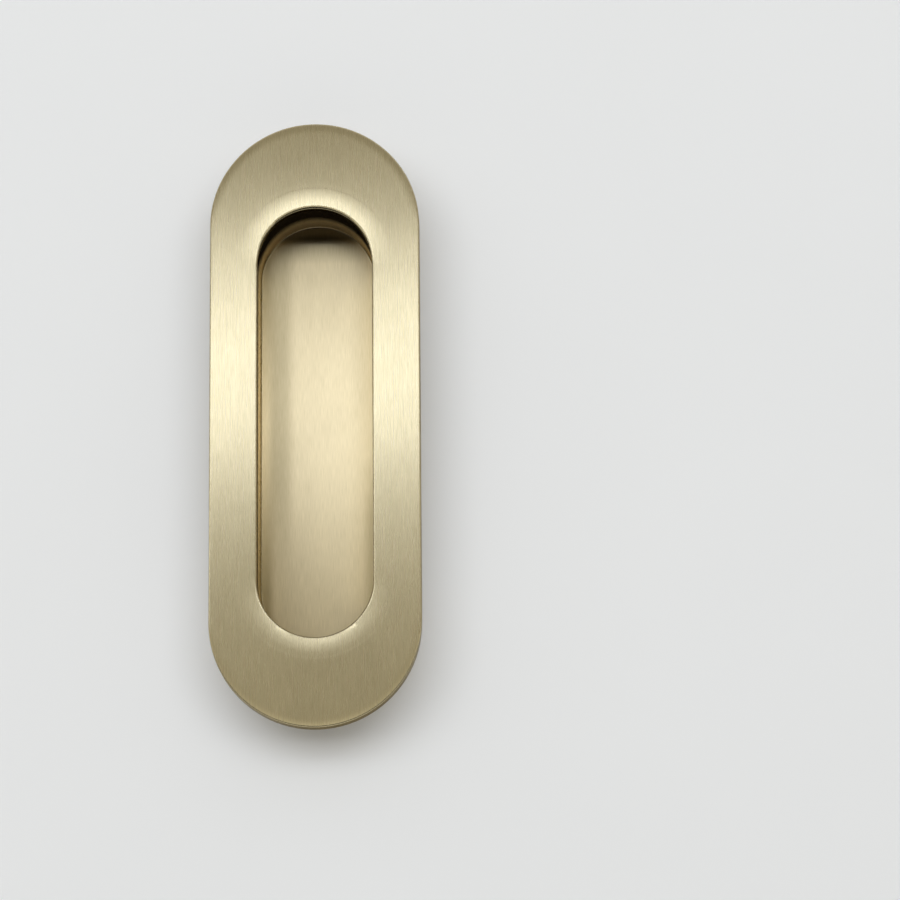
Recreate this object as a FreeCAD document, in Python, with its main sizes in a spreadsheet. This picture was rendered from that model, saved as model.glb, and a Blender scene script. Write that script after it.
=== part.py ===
import FreeCAD, Part
import math
import os

import Sketcher

# Flush pull for a pocket door, lying on the back of its finger cup.
# Millimetres. The origin is under the middle of the pull, X runs across it,
# Y along it, and +Z points out of the door, so that the face is on top.

doc = FreeCAD.newDocument("flush_pull")

DRIVING_SIZES = [
    ("overall_length", 120.0, "face cover, end to end"),
    ("overall_width", 41.0, "face cover, side to side"),
    ("rim_height", 3.0, "how far the face stands out of the door"),
    ("cover_sheet", 0.8, "thickness of the sheet that the cover is pressed from"),
    ("edge_radius", 0.3, "rounding of the outer edge of the face"),
    ("opening_length", 85.0, "finger opening, end to end at the lip"),
    ("opening_width", 22.4, "finger opening, side to side at the lip"),
    ("dip_width", 4.3, "width of the band that dips towards the lip"),
    ("dip_depth", 0.1, "how far the lip lies below the face"),
    ("lip_radius", 0.3, "rounding of the edge of the lip"),
    ("recess_depth", 13.3, "face down to the floor of the cup"),
    ("lip_overhang", 0.2, "how far the lip stands in from the cup wall"),
    ("cup_wall", 1.2, "thickness of the cup wall"),
    ("cup_floor", 1.0, "thickness of the cup floor"),
    ("floor_radius", 0.35, "inside corner between wall and floor"),
    ("mouth_radius", 0.4, "rounding from the flange into the cup"),
    ("flange_play", 0.3, "gap between the flange and the cover's wall"),
    ("screw_hole", 4.0, "diameter of a screw hole"),
    ("screw_head", 7.0, "diameter of a countersink at the top"),
    ("clip_strip", 0.4, "thickness of the spring strip"),
    ("clip_width", 8.0, "width of a clip along the pull"),
    ("clip_leg", 2.6, "length of a clip's legs over the flange"),
    ("clip_bend", 0.3, "outer radius of a clip's bends"),
    ("clip_spread", 46.0, "distance between the clips of one side"),
    ("clip_notch", 0.5, "depth of the notch that holds a clip"),
    ("clip_play", 0.05, "gap around a clip"),
]

sizes = doc.addObject("Spreadsheet::Sheet", "Sizes")
for line, (alias, size, meaning) in enumerate(DRIVING_SIZES, start=1):
    sizes.set("A%d" % line, meaning)
    sizes.set("B%d" % line, str(size))
    sizes.setAlias("B%d" % line, alias)
doc.recompute()

# Levels above the back of the cup.
FACE = "(Sizes.recess_depth + Sizes.cup_floor)"
DOOR = "(%s - Sizes.rim_height)" % FACE
COVER_UNDERSIDE = "(%s - Sizes.cover_sheet)" % FACE
FLANGE_TOP = "(%s - Sizes.clip_strip - Sizes.clip_play)" % COVER_UNDERSIDE
FLANGE_HEIGHT = "(%s - %s)" % (FLANGE_TOP, DOOR)

# Lengths and widths of the stadium outlines, from the outside in.
OVERALL = ("Sizes.overall_length", "Sizes.overall_width")


def grown(outline, margin):
    """The stadium that lies a margin outside another one."""
    length, width = outline
    return ("(%s + 2 * (%s))" % (length, margin), "(%s + 2 * (%s))" % (width, margin))


OPENING = ("Sizes.opening_length", "Sizes.opening_width")
COVER_CAVITY = grown(OVERALL, "-Sizes.cover_sheet")
FLANGE = grown(COVER_CAVITY, "-Sizes.flange_play")
DIP_START = grown(OPENING, "Sizes.dip_width")
CUP_INSIDE = grown(OPENING, "Sizes.lip_overhang")
CUP_OUTSIDE = grown(CUP_INSIDE, "Sizes.cup_wall")

# Distance of a screw hole from the middle: halfway between the cup and the flange's end.
SCREW_REACH = "((%s + %s) / 4)" % (FLANGE[0], CUP_OUTSIDE[0])

# Distances from the middle plane, across the pull.
CAVITY_SIDE = "(%s / 2)" % COVER_CAVITY[1]
FLANGE_SIDE = "(%s / 2)" % FLANGE[1]
NOTCH_FLOOR = "(%s - Sizes.clip_notch)" % FLANGE_SIDE
CLIP_END = "(%s - Sizes.clip_leg)" % NOTCH_FLOOR

TOLERANCE = 0.001


def value(expression):
    """The number that an expression of the driving sizes gives now."""
    return float(sizes.evalExpression(expression))


def plane_of(body, role):
    """One of the three origin planes of a body."""
    return [feature for feature in body.Origin.OriginFeatures if feature.Role == role][0]


def new_body(name):
    """An empty body whose label is the name of its piece."""
    body = doc.addObject("PartDesign::Body", name)
    body.Label = name
    return body


def new_sketch(body, name, role, offset="0"):
    """A sketch on an origin plane of its body, raised along the plane's normal."""
    sketch = body.newObject("Sketcher::SketchObject", name)
    sketch.AttachmentSupport = (plane_of(body, role), "")
    sketch.MapMode = "FlatFace"
    sketch.setExpression("AttachmentOffset.Base.z", offset)
    return sketch


def bind(sketch, constraint, expression):
    """Add a constraint whose value follows an expression of the driving sizes."""
    number = sketch.addConstraint(constraint)
    sketch.setExpression("Constraints[%d]" % number, expression)


def stadium(body, name, level, outline):
    """Stadium about the origin, long way along Y, that starts halfway up its right side."""
    length, width = outline
    radius = value(width) / 2
    reach = value(length) / 2 - radius
    sketch = new_sketch(body, name, "XY_Plane", level)
    up = FreeCAD.Vector(0, 0, 1)
    top_centre = FreeCAD.Vector(0, reach, 0)
    bottom_centre = FreeCAD.Vector(0, -reach, 0)
    right_middle = FreeCAD.Vector(radius, 0, 0)
    left_top = FreeCAD.Vector(-radius, reach, 0)
    left_bottom = FreeCAD.Vector(-radius, -reach, 0)
    sketch.addGeometry(Part.LineSegment(right_middle, FreeCAD.Vector(radius, reach, 0)))
    sketch.addGeometry(Part.ArcOfCircle(Part.Circle(top_centre, up, radius), 0, math.pi))
    sketch.addGeometry(Part.LineSegment(left_top, left_bottom))
    sketch.addGeometry(Part.ArcOfCircle(Part.Circle(bottom_centre, up, radius), math.pi, 2 * math.pi))
    sketch.addGeometry(Part.LineSegment(FreeCAD.Vector(radius, -reach, 0), right_middle))
    for first in range(4):
        sketch.addConstraint(Sketcher.Constraint("Tangent", first, 2, first + 1, 1))
    sketch.addConstraint(Sketcher.Constraint("Coincident", 4, 2, 0, 1))
    sketch.addConstraint(Sketcher.Constraint("PointOnObject", 0, 1, -1))
    sketch.addConstraint(Sketcher.Constraint("Vertical", 0))
    sketch.addConstraint(Sketcher.Constraint("Equal", 1, 3))
    sketch.addConstraint(Sketcher.Constraint("PointOnObject", 1, 3, -2))
    sketch.addConstraint(Sketcher.Constraint("Symmetric", 1, 3, 3, 3, -1, 1))
    bind(sketch, Sketcher.Constraint("Radius", 1, radius), "%s / 2" % width)
    bind(sketch, Sketcher.Constraint("DistanceY", 3, 3, 1, 3, 2 * reach), "%s - %s" % (length, width))
    return sketch


def add_polygon(sketch, corners):
    """Closed polygon whose corners follow pairs of expressions."""
    points = [FreeCAD.Vector(value(x), value(y), 0) for x, y in corners]
    count = len(points)
    first = sketch.GeometryCount
    for step in range(count):
        sketch.addGeometry(Part.LineSegment(points[step], points[(step + 1) % count]))
    for step in range(count):
        side = first + step
        sketch.addConstraint(Sketcher.Constraint("Coincident", side, 2, first + (step + 1) % count, 1))
        x, y = corners[step]
        bind(sketch, Sketcher.Constraint("DistanceX", -1, 1, side, 1, points[step].x), x)
        bind(sketch, Sketcher.Constraint("DistanceY", -1, 1, side, 1, points[step].y), y)


def rectangle(left, right, bottom, top):
    """Corners of a rectangle between four expressions."""
    return [(left, bottom), (right, bottom), (right, top), (left, top)]


def extrude(body, kind, name, sketch, length, upward=True):
    """Pad or pocket of a sketch, up or down from its plane."""
    feature = body.newObject(kind, name)
    feature.Profile = sketch
    feature.Type = "Length"
    cuts = kind == "PartDesign::Pocket"
    feature.Reversed = upward if cuts else not upward
    feature.setExpression("Length", length)
    doc.recompute()
    return feature


def pad(body, name, sketch, length):
    """Material from the plane of a sketch upwards."""
    return extrude(body, "PartDesign::Pad", name, sketch, length)


def pocket(body, name, sketch, length, upward=False):
    """Cut from the plane of a sketch, which has to take something away."""
    before = body.Shape.Volume
    feature = extrude(body, "PartDesign::Pocket", name, sketch, length, upward)
    if feature.Shape.Volume > before - TOLERANCE:
        raise RuntimeError("%s cuts nothing" % name)
    return feature


def reach_from_spine(point, half_straight):
    """Distance of a point from the middle line of a stadium, seen from above."""
    along = max(-half_straight, min(half_straight, point.y))
    return math.hypot(point.x, point.y - along)


def outline_edges(body, level, outline):
    """Names of the edges of a body that run along a stadium at one level."""
    height = value(level)
    radius = value(outline[1]) / 2
    half_straight = value(outline[0]) / 2 - radius
    names = []
    for number, edge in enumerate(body.Tip.Shape.Edges, start=1):
        middle = edge.valueAt((edge.FirstParameter + edge.LastParameter) / 2)
        flat = edge.BoundBox.ZLength < TOLERANCE
        on_level = abs(middle.z - height) < TOLERANCE
        on_outline = abs(reach_from_spine(middle, half_straight) - radius) < TOLERANCE
        if flat and on_level and on_outline:
            names.append("Edge%d" % number)
    return names


def dress(body, kind, name, edges, size_name, expression):
    """Fillet or chamfer on some edges of a body, its size bound to an expression."""
    base = body.Tip
    feature = body.newObject(kind, name)
    feature.Base = (base, edges)
    feature.setExpression(size_name, expression)
    doc.recompute()
    return feature


def fillet(body, name, edges, radius):
    """Rounding of some edges of a body."""
    return dress(body, "PartDesign::Fillet", name, edges, "Radius", radius)


def add_lip_section(sketch):
    """Section of the sheet where it dips from the face to the lip, on the right side."""
    edge_x = value("Sizes.opening_width / 2")
    flat_x = value("%s / 2" % DIP_START[1])
    top_z = value(FACE)
    sheet = value("Sizes.cover_sheet")
    width = value("Sizes.dip_width")
    drop = value("Sizes.dip_depth")
    radius = (width ** 2 + drop ** 2) / (2 * drop)
    turn = 2 * math.atan2(drop, width)
    centre = FreeCAD.Vector(flat_x, top_z - radius, 0)
    up = FreeCAD.Vector(0, 0, 1)
    upper, tip, under, seam = 0, 1, 2, 3
    start, end, middle = 1, 2, 3
    tip_top = FreeCAD.Vector(edge_x, top_z - drop, 0)
    tip_under = centre + (tip_top - centre) * ((radius - sheet) / radius)
    flat_top = FreeCAD.Vector(flat_x, top_z, 0)
    flat_under = FreeCAD.Vector(flat_x, top_z - sheet, 0)
    quarter = math.pi / 2
    sketch.addGeometry(Part.ArcOfCircle(Part.Circle(centre, up, radius), quarter, quarter + turn))
    sketch.addGeometry(Part.LineSegment(tip_top, tip_under))
    sketch.addGeometry(Part.ArcOfCircle(Part.Circle(centre, up, radius - sheet), quarter, quarter + turn))
    sketch.addGeometry(Part.LineSegment(flat_under, flat_top))
    sketch.addConstraint(Sketcher.Constraint("Coincident", upper, end, tip, start))
    sketch.addConstraint(Sketcher.Constraint("Coincident", tip, end, under, end))
    sketch.addConstraint(Sketcher.Constraint("Coincident", under, start, seam, start))
    sketch.addConstraint(Sketcher.Constraint("Coincident", seam, end, upper, start))
    sketch.addConstraint(Sketcher.Constraint("Coincident", upper, middle, under, middle))
    sketch.addConstraint(Sketcher.Constraint("PointOnObject", upper, middle, tip))
    sketch.addConstraint(Sketcher.Constraint("Vertical", seam))
    sketch.addConstraint(Sketcher.Constraint("Vertical", upper, middle, upper, start))
    flat_place = Sketcher.Constraint("DistanceX", -1, 1, upper, start, flat_x)
    face_place = Sketcher.Constraint("DistanceY", -1, 1, upper, start, top_z)
    tip_place = Sketcher.Constraint("DistanceX", -1, 1, upper, end, edge_x)
    tip_level = Sketcher.Constraint("DistanceY", -1, 1, upper, end, top_z - drop)
    thickness = Sketcher.Constraint("DistanceY", seam, start, seam, end, sheet)
    bind(sketch, flat_place, "%s / 2" % DIP_START[1])
    bind(sketch, face_place, FACE)
    bind(sketch, tip_place, "%s / 2" % OPENING[1])
    bind(sketch, tip_level, "%s - Sizes.dip_depth" % FACE)
    bind(sketch, thickness, "Sizes.cover_sheet")


def make_cover():
    """Pressed face cover: a shallow shell whose face dips to the lip of the opening."""
    body = new_body("face_cover")
    pad(body, "cover_block", stadium(body, "cover_outline", DOOR, OVERALL), "Sizes.rim_height")
    fillet(body, "outer_edge", outline_edges(body, FACE, OVERALL), "Sizes.edge_radius")
    cavity = stadium(body, "cavity_outline", DOOR, COVER_CAVITY)
    pocket(body, "cover_cavity", cavity, "Sizes.rim_height - Sizes.cover_sheet", upward=True)
    opening = stadium(body, "dip_outline", FACE, DIP_START)
    pocket(body, "cover_opening", opening, "Sizes.cover_sheet")
    spine = stadium(body, "lip_path", FACE, DIP_START)
    section = new_sketch(body, "lip_section", "XZ_Plane")
    add_lip_section(section)
    doc.recompute()
    lip = body.newObject("PartDesign::AdditivePipe", "dipped_lip")
    lip.Profile = section
    lip.Spine = (spine, ["Edge%d" % (number + 1) for number in range(5)])
    doc.recompute()
    lip_edges = outline_edges(body, "%s - Sizes.dip_depth" % FACE, OPENING)
    fillet(body, "lip_edge", lip_edges, "Sizes.lip_radius")
    return body


def clip_places():
    """Side of the pull and sign of Y for each of the four clips."""
    return [(side, end) for end in (1, -1) for side in (1, -1)]


def add_clip_cuts(sketch, inner):
    """Rectangles, one for each clip, from an inner distance to past the flange's edge."""
    outer = "(%s + Sizes.clip_notch)" % FLANGE_SIDE
    for side, end in clip_places():
        middle = "%d * Sizes.clip_spread / 2" % end
        half = "(Sizes.clip_width / 2 + Sizes.clip_play)"
        near, far = "%d * %s" % (side, inner), "%d * %s" % (side, outer)
        left, right = (near, far) if side > 0 else (far, near)
        add_polygon(sketch, rectangle(left, right, "%s - %s" % (middle, half), "%s + %s" % (middle, half)))


def add_screw_circles(sketch):
    """One circle for each screw, on the long middle line of the pull."""
    radius = value("Sizes.screw_hole / 2")
    for end in (1, -1):
        place = "%d * %s" % (end, SCREW_REACH)
        centre = FreeCAD.Vector(0, value(place), 0)
        circle = sketch.addGeometry(Part.Circle(centre, FreeCAD.Vector(0, 0, 1), radius))
        sketch.addConstraint(Sketcher.Constraint("PointOnObject", circle, 3, -2))
        bind(sketch, Sketcher.Constraint("DistanceY", -1, 1, circle, 3, centre.y), place)
        bind(sketch, Sketcher.Constraint("Radius", circle, radius), "Sizes.screw_hole / 2")


def hole_edges(body, level):
    """Names of the round edges of the screw holes at one level."""
    height = value(level)
    radius = value("Sizes.screw_hole / 2")
    names = []
    for number, edge in enumerate(body.Tip.Shape.Edges, start=1):
        if not isinstance(edge.Curve, Part.Circle):
            continue
        on_level = abs(edge.Curve.Center.z - height) < TOLERANCE
        same_size = abs(edge.Curve.Radius - radius) < TOLERANCE
        on_middle_line = abs(edge.Curve.Center.x) < TOLERANCE
        if on_level and same_size and on_middle_line:
            names.append("Edge%d" % number)
    return names


def make_cup():
    """Finger cup with the flange that screws to the door and carries the cover."""
    body = new_body("recess_cup")
    pad(body, "flange_block", stadium(body, "flange_outline", DOOR, FLANGE), FLANGE_HEIGHT)
    pad(body, "cup_block", stadium(body, "cup_outline", "0", CUP_OUTSIDE), DOOR)
    fillet(body, "back_edge", outline_edges(body, "0", CUP_OUTSIDE), "Sizes.floor_radius + Sizes.cup_wall")
    inside = stadium(body, "cup_inside_outline", FLANGE_TOP, CUP_INSIDE)
    pocket(body, "cup_inside", inside, "%s - Sizes.cup_floor" % FLANGE_TOP)
    fillet(body, "floor_corner", outline_edges(body, "Sizes.cup_floor", CUP_INSIDE), "Sizes.floor_radius")
    fillet(body, "mouth_edge", outline_edges(body, FLANGE_TOP, CUP_INSIDE), "Sizes.mouth_radius")
    holes = new_sketch(body, "screw_circles", "XY_Plane", FLANGE_TOP)
    add_screw_circles(holes)
    pocket(body, "screw_holes", holes, FLANGE_HEIGHT)
    countersink = "(Sizes.screw_head - Sizes.screw_hole) / 2"
    dress(body, "PartDesign::Chamfer", "countersinks", hole_edges(body, FLANGE_TOP), "Size", countersink)
    notches = new_sketch(body, "clip_notch_outlines", "XY_Plane", FLANGE_TOP)
    add_clip_cuts(notches, NOTCH_FLOOR)
    pocket(body, "clip_notches", notches, FLANGE_HEIGHT)
    slots = new_sketch(body, "clip_slot_outlines", "XY_Plane", DOOR)
    add_clip_cuts(slots, "(%s - Sizes.clip_play)" % CLIP_END)
    pocket(body, "clip_slots", slots, "Sizes.clip_strip + Sizes.clip_play", upward=True)
    return body


def clip_bends():
    """Outer corners of a clip, from the bottom to the top: only the middle one nears the cover's wall."""
    strip = "Sizes.clip_strip"
    low = "(%s + Sizes.clip_play)" % DOOR
    high = "(%s + %s)" % (FLANGE_TOP, strip)
    middle = "((%s + %s) / 2)" % (low, high)
    web = "(%s + %s)" % (NOTCH_FLOOR, strip)
    bow = "(%s - Sizes.clip_play)" % CAVITY_SIDE
    return [(web, low), (bow, middle), (web, high)]


def clip_corners():
    """Section of a clip: two legs over the flange, and a web bowed out to the cover's wall."""
    strip = "Sizes.clip_strip"
    bends = clip_bends()
    low, high = bends[0][1], bends[2][1]
    bow, middle = bends[1]
    return [
        (CLIP_END, low),
        *bends,
        (CLIP_END, high),
        (CLIP_END, "%s - %s" % (high, strip)),
        (NOTCH_FLOOR, "%s - %s" % (high, strip)),
        ("%s - %s" % (bow, strip), middle),
        (NOTCH_FLOOR, "%s + %s" % (low, strip)),
        (CLIP_END, "%s + %s" % (low, strip)),
    ]


def bend_edges(body, corners):
    """Names of the edges along Y that start at some corners of the section."""
    names = []
    for number, edge in enumerate(body.Tip.Shape.Edges, start=1):
        point = edge.Vertexes[0].Point
        for x, z in corners:
            at_corner = math.hypot(point.x - value(x), point.z - value(z)) < TOLERANCE
            if at_corner and edge.BoundBox.XLength < TOLERANCE and edge.BoundBox.ZLength < TOLERANCE:
                names.append("Edge%d" % number)
    return names


def make_clip(name, side, end):
    """Spring clip that grips the flange's edge and holds the cover's wall."""
    body = new_body(name)
    section = new_sketch(body, name + "_section", "XZ_Plane")
    add_polygon(section, clip_corners())
    strip = pad(body, name + "_strip", section, "Sizes.clip_width")
    strip.Midplane = True
    doc.recompute()
    fillet(body, name + "_bends", bend_edges(body, clip_bends()), "Sizes.clip_bend")
    turn = 0 if side > 0 else 180
    body.Placement.Rotation = FreeCAD.Rotation(FreeCAD.Vector(0, 0, 1), turn)
    body.setExpression("Placement.Base.y", "%d * Sizes.clip_spread / 2" % end)
    return body


pieces = [make_cover(), make_cup()]
for number, (side, end) in enumerate(clip_places(), start=1):
    pieces.append(make_clip("spring_clip_%d" % number, side, end))
doc.recompute()

for item in doc.Objects:
    if "Invalid" in item.State or "Error" in item.State:
        raise RuntimeError("%s is %s" % (item.Label, item.State))
for piece in pieces:
    if piece.Shape.isNull() or not piece.Shape.isValid():
        raise RuntimeError("%s has no valid shape" % piece.Label)

os.makedirs("parts", exist_ok=True)
for piece in pieces:
    piece.Shape.exportStep("parts/%s.step" % piece.Label)
    box = piece.Shape.BoundBox
    levels = (round(box.ZMin, 2), round(box.ZMax, 2))
    print(piece.Label, len(piece.Shape.Solids), "solid", round(piece.Shape.Volume, 2), "mm3, z", *levels)
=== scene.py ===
import math

import bpy
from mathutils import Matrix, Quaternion, Vector


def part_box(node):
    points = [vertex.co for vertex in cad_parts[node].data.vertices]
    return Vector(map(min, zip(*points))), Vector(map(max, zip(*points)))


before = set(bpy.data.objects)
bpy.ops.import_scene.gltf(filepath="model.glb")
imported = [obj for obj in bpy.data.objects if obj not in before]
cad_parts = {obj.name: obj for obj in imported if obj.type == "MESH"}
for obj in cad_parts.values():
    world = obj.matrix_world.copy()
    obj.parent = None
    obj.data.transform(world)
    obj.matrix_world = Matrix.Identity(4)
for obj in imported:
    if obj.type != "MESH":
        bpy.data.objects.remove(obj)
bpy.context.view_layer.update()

# A flush pull for a pocket door, lying on its back on a pale table.
# Metres, in the part's own frame: X across the pull, Y along it, +Z out of its face.

# Places on the pull. A reach is a distance from the middle line of a stadium.
cover_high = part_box("face_cover")[1]
FACE_LEVEL = cover_high[2]
FACE_HALF_WIDTH = cover_high[0]
FACE_HALF_STRAIGHT = cover_high[1] - cover_high[0]
OPENING_HALF_STRAIGHT = 0.0313
LIP_HALF_WIDTH = 0.0112
CUP_HALF_WIDTH = 0.0114
CUP_FLOOR_LEVEL = 0.0010
DIP_START = 0.0155
EDGE_MARGIN = 0.0005

# A grain has its cells per metre across and along the pull, and its detail.
# Its noise lies mostly within NOISE_SPAN.
FINE_GRAIN = (9000.0, 330.0, 1.0)
COARSE_GRAIN = (3500.0, 90.0, 2.0)
BLOTCHES = (180.0, 90.0, 2.0)
WALL_GRAIN = (700.0, 700.0, 3.0)
STEEL_GRAIN = (3000.0, 200.0, 2.0)
TABLE_GRAIN = (20.0, 20.0, 2.0)
GRAIN_ROUGHNESS = 0.6
NOISE_SPAN = (0.3, 0.7)

# Brushed brass: the colours of its grain and at a glancing angle.
WHITE = (1.0, 1.0, 1.0, 1.0)
BRASS_DARK = (0.617, 0.536, 0.346, 1.0)
BRASS_LIGHT = (0.703, 0.614, 0.414, 1.0)
BRASS_EDGE = (0.60, 0.52, 0.34, 1.0)
BRASS_MOTTLE = (0.97, 1.03)
BRASS_ROUGHNESS = (0.262, 0.278)
BRUSH_DEPTH = 0.0000002

# The face is worn lower along its outer edge, and turns a little further down at its lip.
ROLL_OFF_WIDTH = 0.0022
ROLL_OFF_DROP = 0.00006
LIP_TURN_SPAN = (0.0118, 0.0108)
LIP_TURN_DROP = 0.00025
LIP_TURN_SHIFT = 0.0003

# The dip starts softly: its curve is eased, and its outermost facet is evened out.
DIP_EASE = 0.0014
DIP_EASE_DROP = 0.0000040
DIP_FACET_SPAN = (0.014167, 0.01538)
DIP_FACET_RISE = 0.0000042

# Painted shade: darker brass on the cover's side, and on its lip at the upper end, standing in for
# the shade and dark reflections there.
SIDE_PAINTED_SHADE = (0.27, 0.215, 0.13, 1.0)
SIDE_LEVEL = FACE_LEVEL - 0.00012
SIDE_FADE = 0.0001
LIP_PAINTED_SHADE = (0.05, 0.04, 0.025, 1.0)
LIP_SHADE_LEVEL = FACE_LEVEL - 0.000104
LIP_SHADE_FADE = 0.00001
LIP_SHADE_SPAN = (0.0335, 0.0395)

# The cup's walls: bright near the floor, with painted shade up under the lip on the ends and on the
# left wall, duller at the ends.
WALL_DEEP = (1.0, 0.84, 0.56, 1.0)
# The dark of the painted shade under the lip, which the wall's random mottle also leans towards.
WALL_SHADE_AND_MOTTLE_DARK = (0.06, 0.045, 0.025, 1.0)
WALL_SIDE = (1.0, 0.90, 0.68, 1.0)
CUP_OUTSIDE = (0.60, 0.52, 0.34, 1.0)
WALL_THICKNESS_SEEN = 0.0006
END_WALL_FROM = OPENING_HALF_STRAIGHT - 0.002
END_WALL_TO = OPENING_HALF_STRAIGHT + 0.005
END_DARK_SPAN = (0.0045, 0.0085)
SIDE_DARK_SPAN = (0.0080, 0.0095)
WALL_MOTTLE = (0.0, 0.12)
WALL_BLUR_MOTTLE = (0.93, 1.07)
WALL_SIDE_BLUR = 0.28
WALL_END_BLUR = (0.34, 0.54)
WALL_CORNER_SPAN = (0.0013, 0.0022)

# The cup's floor: a faint dish, and painted shade along its sides, in its corners and at its upper
# end.
FLOOR_FADE_FROM = CUP_FLOOR_LEVEL + 0.00003
FLOOR_FADE_TO = CUP_FLOOR_LEVEL + 0.0002
FLOOR_DISH = 0.054
FLOOR_LEAN = -0.0055
FLOOR_DULLNESS = 0.03
FLOOR_MIDDLE_SHADE = (1.05, 1.015, 0.99, 1.0)
FLOOR_BORDER_SHADE = (0.80, 0.77, 0.72, 1.0)
FLOOR_CORNER_SHADE = (0.52, 0.49, 0.43, 1.0)
FLOOR_END_SHADE = (0.62, 0.60, 0.56, 1.0)
FLOOR_DEEP_SHADE = (0.20, 0.20, 0.22, 1.0)
LEFT_BORDER_SPAN = (-0.0040, -0.0070)
LEFT_BORDER_STOP = (-0.0104, -0.0085)
LEFT_BORDER_ALONG = (-0.028, -0.010)
LEFT_BORDER_AMOUNT = (0.2, 1.0)
RIGHT_BORDER_SPAN = (0.0060, 0.0105)
RIGHT_BORDER_AMOUNT = (0.0, 0.5)
# Where along the floor the painted shade in its left corner is least.
FLOOR_LEAST_SHADED_PLACE = 0.002
LEFT_CORNER_SPAN = (-0.0080, -0.0103)
LEFT_CORNER_AWAY = (0.0, 0.034)
RIGHT_CORNER_SPAN = (0.0085, 0.0102)
RIGHT_CORNER_ALONG = (-0.004, -0.016)
RIGHT_CORNER_AMOUNT = (0.0, 0.6)
FLOOR_END_SPAN = (0.0350, 0.0392)
FLOOR_DEEP_SPAN = (0.0390, 0.0402)

STEEL_DARK = (0.42, 0.42, 0.43, 1.0)
STEEL_LIGHT = (0.60, 0.61, 0.63, 1.0)
STEEL_ROUGHNESS = (0.3, 0.42)

TABLE_DARK = (0.805, 0.815, 0.84, 1.0)
TABLE_LIGHT = (0.825, 0.835, 0.86, 1.0)
TABLE_ROUGHNESS = 0.9
TABLE_SPECULAR = 0.1
TABLE_LIFT = 0.075
TABLE_HALF = 3.0
TABLE_LEVEL = -0.00002


def new_material(name):
    """An empty material with its output."""
    material = bpy.data.materials.new(name)
    material.use_nodes = True
    tree = material.node_tree
    tree.nodes.clear()
    output = tree.nodes.new("ShaderNodeOutputMaterial")
    return material, tree, output.inputs["Surface"]


def node(tree, kind, settings=None, inputs=None):
    """A node with some settings and some input values or links."""
    made = tree.nodes.new(kind)
    for key, setting in (settings or {}).items():
        setattr(made, key, setting)
    for key, given in (inputs or {}).items():
        if isinstance(given, bpy.types.NodeSocket):
            tree.links.new(given, made.inputs[key])
        else:
            made.inputs[key].default_value = given
    return made


def calculate(tree, operation, first, second=0.0):
    """One step of arithmetic on values or links."""
    inputs = {0: first, 1: second}
    return node(tree, "ShaderNodeMath", {"operation": operation}, inputs).outputs[0]


def add(tree, first, second):
    """Sum of two values."""
    return calculate(tree, "ADD", first, second)


def multiply(tree, first, second):
    """Product of two values."""
    return calculate(tree, "MULTIPLY", first, second)


def remap(tree, source, span, result=(0.0, 1.0), curve="LINEAR"):
    """Change of a value from one range to another, clamped."""
    limits = {
        "Value": source,
        "From Min": span[0],
        "From Max": span[1],
        "To Min": result[0],
        "To Max": result[1],
    }
    return node(tree, "ShaderNodeMapRange", {"interpolation_type": curve}, limits).outputs["Result"]


def blend(tree, factor, first, second, mode="MIX"):
    """Mix of two colours."""
    inputs = {"Fac": factor, "Color1": first, "Color2": second}
    return node(tree, "ShaderNodeMixRGB", {"blend_type": mode}, inputs).outputs["Color"]


def grain_noise(tree, across, along, detail):
    """Noise in streaks along Y: cells are 1/across wide and 1/along long, in metres."""
    place = node(tree, "ShaderNodeTexCoord").outputs["Object"]
    stretch = {0: place, 1: (across, along, across)}
    stretched = node(tree, "ShaderNodeVectorMath", {"operation": "MULTIPLY"}, stretch)
    inputs = {
        "Vector": stretched.outputs["Vector"],
        "Scale": 1.0,
        "Detail": detail,
        "Roughness": GRAIN_ROUGHNESS,
    }
    return node(tree, "ShaderNodeTexNoise", None, inputs).outputs["Fac"]


def object_place(tree):
    """The three coordinates of a point of the pull."""
    place = node(tree, "ShaderNodeTexCoord").outputs["Object"]
    return node(tree, "ShaderNodeSeparateXYZ", None, {"Vector": place}).outputs


def reach_from_middle(tree, half_straight, shift=0.0):
    """Distance of a point from the middle line of a stadium, seen from above."""
    place = object_place(tree)
    up = calculate(tree, "SUBTRACT", place["Y"], shift)
    past_end = calculate(tree, "SUBTRACT", calculate(tree, "ABSOLUTE", up), half_straight)
    along = calculate(tree, "MAXIMUM", past_end, 0.0)
    across = calculate(tree, "ABSOLUTE", place["X"])
    squares = add(tree, calculate(tree, "POWER", across, 2.0), calculate(tree, "POWER", along, 2.0))
    return calculate(tree, "SQRT", squares)


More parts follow.
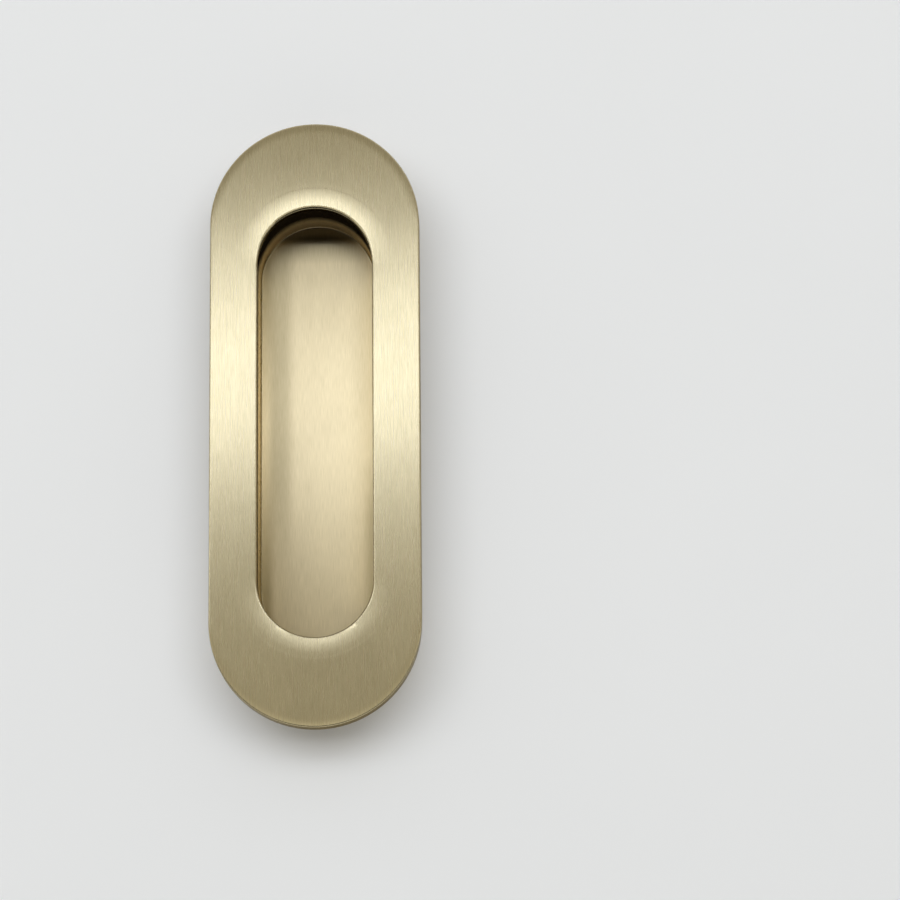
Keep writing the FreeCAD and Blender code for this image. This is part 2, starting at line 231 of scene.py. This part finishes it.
def brushed_brass(tree, shade, height, dullness=0.0):
    """Brass brushed along the pull, so that a highlight spreads across it."""
    fine = grain_noise(tree, *FINE_GRAIN)
    coarse = grain_noise(tree, *COARSE_GRAIN)
    blotch = grain_noise(tree, *BLOTCHES)
    tint = blend(tree, remap(tree, fine, NOISE_SPAN), BRASS_DARK, BRASS_LIGHT)
    mottle = remap(tree, blotch, NOISE_SPAN, BRASS_MOTTLE)
    channels = {"Red": mottle, "Green": mottle, "Blue": mottle}
    grey = node(tree, "ShaderNodeCombineColor", None, channels).outputs["Color"]
    tint = blend(tree, 1.0, tint, grey, "MULTIPLY")
    tint = blend(tree, 1.0, tint, shade, "MULTIPLY")
    bumps = add(tree, multiply(tree, fine, BRUSH_DEPTH), height)
    relief = {"Height": bumps, "Strength": 1.0, "Distance": 1.0}
    normal = node(tree, "ShaderNodeBump", None, relief)
    across = node(tree, "ShaderNodeCombineXYZ", None, {"X": 1.0})
    roughness = (BRASS_ROUGHNESS[0] + dullness, BRASS_ROUGHNESS[1] + dullness)
    shader = node(tree, "ShaderNodeBsdfPrincipled", None, {
        "Base Color": tint,
        "Roughness": remap(tree, coarse, NOISE_SPAN, roughness),
        "Normal": normal.outputs["Normal"],
        "Tangent": across.outputs["Vector"],
        "Metallic": 1.0,
        "Anisotropic": 1.0,
        "Specular Tint": BRASS_EDGE,
    })
    return shader.outputs["BSDF"]


def face_height(tree, reach, lip_reach):
    """The finest shape of the face, which only its highlights show."""
    past = remap(tree, reach, (FACE_HALF_WIDTH - ROLL_OFF_WIDTH, FACE_HALF_WIDTH))
    drop = multiply(tree, calculate(tree, "POWER", past, 3.0), -ROLL_OFF_DROP)
    turned = remap(tree, lip_reach, LIP_TURN_SPAN)
    turn = multiply(tree, calculate(tree, "POWER", turned, 2.0), -LIP_TURN_DROP)
    ease_span = (DIP_START + DIP_EASE, DIP_START - DIP_EASE)
    eased = remap(tree, lip_reach, ease_span, (0.0, -DIP_EASE_DROP), "SMOOTHERSTEP")
    facet = calculate(tree, "POWER", remap(tree, lip_reach, DIP_FACET_SPAN), 2.0)
    rise = multiply(tree, calculate(tree, "SUBTRACT", 1.0, facet), DIP_FACET_RISE)
    return add(tree, add(tree, add(tree, drop, turn), eased), rise)


def face_painted_shade(tree, reach, lip_reach):
    """Painted shade: darker brass below the outer edge, and below the lip at the upper end."""
    place = object_place(tree)
    outside = calculate(tree, "GREATER_THAN", reach, FACE_HALF_WIDTH - EDGE_MARGIN)
    side = remap(tree, place["Z"], (SIDE_LEVEL, SIDE_LEVEL - SIDE_FADE))
    shade = blend(tree, multiply(tree, side, outside), WHITE, SIDE_PAINTED_SHADE)
    inside = calculate(tree, "LESS_THAN", lip_reach, LIP_HALF_WIDTH + EDGE_MARGIN)
    under = remap(tree, place["Z"], (LIP_SHADE_LEVEL, LIP_SHADE_LEVEL - LIP_SHADE_FADE))
    under = multiply(tree, under, remap(tree, place["Y"], LIP_SHADE_SPAN))
    return blend(tree, multiply(tree, under, inside), shade, LIP_PAINTED_SHADE)


def make_face_brass(name):
    """Brushed brass of the cover."""
    material, tree, surface = new_material(name)
    reach = reach_from_middle(tree, FACE_HALF_STRAIGHT)
    lip_reach = reach_from_middle(tree, OPENING_HALF_STRAIGHT, LIP_TURN_SHIFT)
    shade = face_painted_shade(tree, reach, lip_reach)
    height = face_height(tree, reach, lip_reach)
    tree.links.new(brushed_brass(tree, shade, height), surface)
    return material


def cup_wall(tree, outer):
    """Satin inner walls with painted shade up under the lip, and the plain outer side of the cup.
    """
    place = object_place(tree)
    mottle = grain_noise(tree, *WALL_GRAIN)
    far = calculate(tree, "ABSOLUTE", place["Y"])
    at_end = remap(tree, far, (END_WALL_FROM, END_WALL_TO), curve="SMOOTHSTEP")
    # Painted shade: the inner walls darken upwards towards the lip, at the ends and on the left
    # wall only.
    end_dark = remap(tree, place["Z"], END_DARK_SPAN, curve="SMOOTHSTEP")
    side_dark = remap(tree, place["Z"], SIDE_DARK_SPAN, curve="SMOOTHSTEP")
    side_dark = multiply(tree, side_dark, calculate(tree, "LESS_THAN", place["X"], 0.0))
    end_with_painted_shade = blend(tree, end_dark, WALL_DEEP, WALL_SHADE_AND_MOTTLE_DARK)
    side_with_painted_shade = blend(tree, side_dark, WALL_SIDE, WALL_SHADE_AND_MOTTLE_DARK)
    wall_with_painted_shade = blend(tree, at_end, side_with_painted_shade, end_with_painted_shade)
    tint = blend(tree, remap(tree, mottle, NOISE_SPAN, WALL_MOTTLE), wall_with_painted_shade, WALL_SHADE_AND_MOTTLE_DARK)
    end_blur = remap(tree, place["Z"], WALL_CORNER_SPAN, WALL_END_BLUR)
    side_blur = multiply(tree, calculate(tree, "SUBTRACT", 1.0, at_end), WALL_SIDE_BLUR)
    blur = add(tree, multiply(tree, at_end, end_blur), side_blur)
    wall = node(tree, "ShaderNodeBsdfPrincipled", None, {
        "Base Color": blend(tree, outer, tint, CUP_OUTSIDE),
        "Roughness": multiply(tree, blur, remap(tree, mottle, NOISE_SPAN, WALL_BLUR_MOTTLE)),
        "Metallic": 1.0,
        "Specular Tint": blend(tree, outer, wall_with_painted_shade, CUP_OUTSIDE),
    })
    return wall.outputs["BSDF"]


def floor_painted_shade(tree):
    """Painted shade on the cup's floor: along its sides, in its corners and at its upper end."""
    place = object_place(tree)
    aside, along = place["X"], place["Y"]
    start = remap(tree, aside, LEFT_BORDER_SPAN, curve="SMOOTHSTEP")
    stop = remap(tree, aside, LEFT_BORDER_STOP, curve="SMOOTHSTEP")
    lengthwise = remap(tree, along, LEFT_BORDER_ALONG, LEFT_BORDER_AMOUNT)
    left = multiply(tree, multiply(tree, start, stop), lengthwise)
    right = remap(tree, aside, RIGHT_BORDER_SPAN, RIGHT_BORDER_AMOUNT)
    shade = blend(tree, add(tree, left, right), FLOOR_MIDDLE_SHADE, FLOOR_BORDER_SHADE)
    away = calculate(tree, "ABSOLUTE", calculate(tree, "SUBTRACT", along, FLOOR_LEAST_SHADED_PLACE))
    left = multiply(tree, remap(tree, aside, LEFT_CORNER_SPAN, curve="SMOOTHSTEP"),
                    remap(tree, away, LEFT_CORNER_AWAY))
    right = multiply(tree, remap(tree, aside, RIGHT_CORNER_SPAN),
                     remap(tree, along, RIGHT_CORNER_ALONG, RIGHT_CORNER_AMOUNT))
    shade = blend(tree, add(tree, left, right), shade, FLOOR_CORNER_SHADE)
    shade = blend(tree, remap(tree, along, FLOOR_END_SPAN), shade, FLOOR_END_SHADE)
    return blend(tree, remap(tree, along, FLOOR_DEEP_SPAN), shade, FLOOR_DEEP_SHADE)


def floor_height(tree):
    """Faint dish of the cup's floor, which only its highlight shows."""
    along = object_place(tree)["Y"]
    dish = multiply(tree, multiply(tree, along, along), FLOOR_DISH)
    return add(tree, dish, multiply(tree, along, FLOOR_LEAN))


def make_cup_brass(name):
    """Brushed floor inside satin walls."""
    material, tree, surface = new_material(name)
    level = object_place(tree)["Z"]
    reach = reach_from_middle(tree, OPENING_HALF_STRAIGHT)
    beyond = calculate(tree, "GREATER_THAN", reach, CUP_HALF_WIDTH + WALL_THICKNESS_SEEN)
    beneath = calculate(tree, "LESS_THAN", level, CUP_FLOOR_LEVEL / 2.0)
    wall = cup_wall(tree, calculate(tree, "MAXIMUM", beyond, beneath))
    floor = brushed_brass(tree, floor_painted_shade(tree), floor_height(tree), FLOOR_DULLNESS)
    off_floor = remap(tree, level, (FLOOR_FADE_FROM, FLOOR_FADE_TO))
    off_floor = calculate(tree, "MAXIMUM", off_floor, beneath)
    mixed = node(tree, "ShaderNodeMixShader", None, {0: off_floor, 1: floor, 2: wall})
    tree.links.new(mixed.outputs["Shader"], surface)
    return material


def make_steel(name):
    """Plain spring steel with a faint rolling grain."""
    material, tree, surface = new_material(name)
    grain = grain_noise(tree, *STEEL_GRAIN)
    shader = node(tree, "ShaderNodeBsdfPrincipled", None, {
        "Base Color": blend(tree, grain, STEEL_DARK, STEEL_LIGHT),
        "Roughness": remap(tree, grain, NOISE_SPAN, STEEL_ROUGHNESS),
        "Metallic": 1.0,
    })
    tree.links.new(shader.outputs["BSDF"], surface)
    return material


def make_table(name):
    """Pale matt table top, whose own paleness shows to the eye and in the metal."""
    material, tree, surface = new_material(name)
    grain = grain_noise(tree, *TABLE_GRAIN)
    shader = node(tree, "ShaderNodeBsdfPrincipled", None, {
        "Base Color": blend(tree, grain, TABLE_DARK, TABLE_LIGHT),
        "Roughness": TABLE_ROUGHNESS,
        "Specular IOR Level": TABLE_SPECULAR,
    })
    path = node(tree, "ShaderNodeLightPath").outputs
    seen = calculate(tree, "MAXIMUM", path["Is Camera Ray"], path["Is Glossy Ray"])
    seen = calculate(tree, "MAXIMUM", seen, path["Is Transmission Ray"])
    glow = {"Color": WHITE, "Strength": multiply(tree, seen, TABLE_LIFT)}
    lift = node(tree, "ShaderNodeEmission", None, glow).outputs["Emission"]
    both = node(tree, "ShaderNodeAddShader", None, {0: shader.outputs["BSDF"], 1: lift})
    tree.links.new(both.outputs["Shader"], surface)
    return material


def dress_node(name, material):
    """Give a CAD piece one material in every slot."""
    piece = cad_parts[name]
    if not piece.material_slots:
        piece.data.materials.append(material)
    for slot in piece.material_slots:
        slot.material = material


dress_node("face_cover", make_face_brass("brushed_brass_face"))
dress_node("recess_cup", make_cup_brass("brushed_brass_cup"))
steel = make_steel("spring_steel")
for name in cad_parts:
    if name.startswith("spring_clip"):
        dress_node(name, steel)


def make_floor():
    """The table top, wide enough for any view."""
    mesh = bpy.data.meshes.new("table_top")
    signs = ((-1, -1), (1, -1), (1, 1), (-1, 1))
    corners = [(x * TABLE_HALF, y * TABLE_HALF, TABLE_LEVEL) for x, y in signs]
    mesh.from_pydata(corners, [], [(0, 1, 2, 3)])
    table = bpy.data.objects.new("table_top", mesh)
    bpy.context.scene.collection.objects.link(table)
    table.data.materials.append(make_table("pale_table"))


make_floor()

# The strip gives the bright band across the pull, and its halo the band's soft borders.
# Both lie across the pull, so each is turned to a point with its own X.
STRIP_X = -0.5
STRIP_AIM = (STRIP_X, 0.013, FACE_LEVEL)
STRIP_PLACE = (STRIP_X, 0.263, FACE_LEVEL + 1.0)
STRIP_SIZE = (2.0, 0.09)
STRIP_RADIANCE = 1.95
HALO_PLACE = (STRIP_X, 0.255, FACE_LEVEL + 1.0)
HALO_SIZE = (2.0, 0.17)
HALO_RADIANCE = 0.20
STRIP_COLOR = (0.93, 1.0, 1.12)

# Light on the table from above its upper left, which leaves the shadow below and to the right.
KEY_X = -0.06
KEY_AIM = (KEY_X, 0.0, 0.0)
KEY_PLACE = (KEY_X, 0.28, 1.3)
KEY_SIZE = (1.9, 0.75)
KEY_RADIANCE = 2.38
KEY_COLOR = (0.985, 1.0, 1.0)


def area_lamp(name, place, aim, size, radiance, color):
    """Rectangular softbox at a place, turned to a point, with its own brightness as radiance."""
    lamp = bpy.data.lights.new(name, "AREA")
    lamp.shape = "RECTANGLE"
    lamp.size, lamp.size_y = size
    lamp.energy = radiance * math.pi * size[0] * size[1]
    lamp.color = color
    thing = bpy.data.objects.new(name, lamp)
    thing.location = place
    thing.rotation_euler = (Vector(aim) - Vector(place)).to_track_quat("-Z", "Y").to_euler()
    bpy.context.scene.collection.objects.link(thing)
    return thing


area_lamp("strip", STRIP_PLACE, STRIP_AIM, STRIP_SIZE, STRIP_RADIANCE, STRIP_COLOR)
area_lamp("strip_halo", HALO_PLACE, STRIP_AIM, HALO_SIZE, HALO_RADIANCE, STRIP_COLOR)
key = area_lamp("key", KEY_PLACE, KEY_AIM, KEY_SIZE, KEY_RADIANCE, KEY_COLOR)
key.visible_glossy = False

# The studio above the table, from its lower end (-1) to its upper end (+1): how bright each
# band is. The dark one is where the camera stands.
STUDIO_BANDS = [
    (-0.90, (0.45, 0.43, 0.36)),
    (-0.58, (0.32, 0.30, 0.25)),
    (-0.42, (0.015, 0.014, 0.012)),
    (-0.11, (0.015, 0.014, 0.012)),
    (-0.04, (0.75, 0.72, 0.62)),
    (0.03, (0.75, 0.72, 0.62)),
    (0.09, (0.50, 0.47, 0.38)),
    (0.14, (0.36, 0.335, 0.26)),
    (0.35, (0.35, 0.325, 0.25)),
    (0.62, (0.55, 0.55, 0.55)),
]

# A paler strip of wall all round, low down, that only the sides of the pull show.
HORIZON_COLOR = (0.50, 0.50, 0.48, 1.0)
HORIZON_SPAN = (0.45, 0.25)


def make_world():
    """Studio walls and ceiling, in bands along the pull above a pale horizon."""
    world = bpy.data.worlds.new("studio")
    world.use_nodes = True
    tree = world.node_tree
    direction = node(tree, "ShaderNodeTexCoord").outputs["Generated"]
    way = node(tree, "ShaderNodeSeparateXYZ", None, {"Vector": direction}).outputs
    bands = node(tree, "ShaderNodeValToRGB", None, {"Fac": remap(tree, way["Y"], (-1.0, 1.0))})
    stops = bands.color_ramp.elements
    while len(stops) < len(STUDIO_BANDS):
        stops.new(0.5)
    for stop, (place, color) in zip(stops, STUDIO_BANDS):
        stop.position = (place + 1.0) / 2.0
        stop.color = (*color, 1.0)
    low = remap(tree, way["Z"], HORIZON_SPAN, curve="SMOOTHSTEP")
    color = blend(tree, low, bands.outputs["Color"], HORIZON_COLOR)
    tree.links.new(color, tree.nodes["Background"].inputs["Color"])
    bpy.context.scene.world = world


make_world()

# The photograph's view: a long lens almost above the pull, a little towards its lower end.
VIEW_AZIMUTH = math.radians(6.3)
VIEW_TILT = math.radians(12.5)
VIEW_ROLL = math.radians(-6.94)
VIEW_DISTANCE = 0.7736
VIEW_CENTRE = Vector((0.0262, -0.0062, FACE_LEVEL))
FOCAL_PIXELS = 4000.0
IMAGE_PIXELS = 900.0
SENSOR_WIDTH = 36.0
CLIP_START = 0.01
CLIP_END = 20.0


def make_camera():
    """Camera at the photograph's viewing angle."""
    data = bpy.data.cameras.new("camera")
    data.sensor_width = SENSOR_WIDTH
    data.lens = SENSOR_WIDTH * FOCAL_PIXELS / IMAGE_PIXELS
    data.clip_start = CLIP_START
    data.clip_end = CLIP_END
    camera = bpy.data.objects.new("camera", data)
    sideways = VIEW_DISTANCE * math.sin(VIEW_TILT)
    offset = Vector((
        sideways * math.sin(VIEW_AZIMUTH),
        -sideways * math.cos(VIEW_AZIMUTH),
        VIEW_DISTANCE * math.cos(VIEW_TILT),
    ))
    camera.location = VIEW_CENTRE + offset
    camera.rotation_mode = "QUATERNION"
    look = (-offset).to_track_quat("-Z", "Y")
    camera.rotation_quaternion = look @ Quaternion((0.0, 0.0, 1.0), VIEW_ROLL)
    bpy.context.scene.collection.objects.link(camera)
    bpy.context.scene.camera = camera


make_camera()

bpy.context.scene.view_settings.view_transform = "Standard"
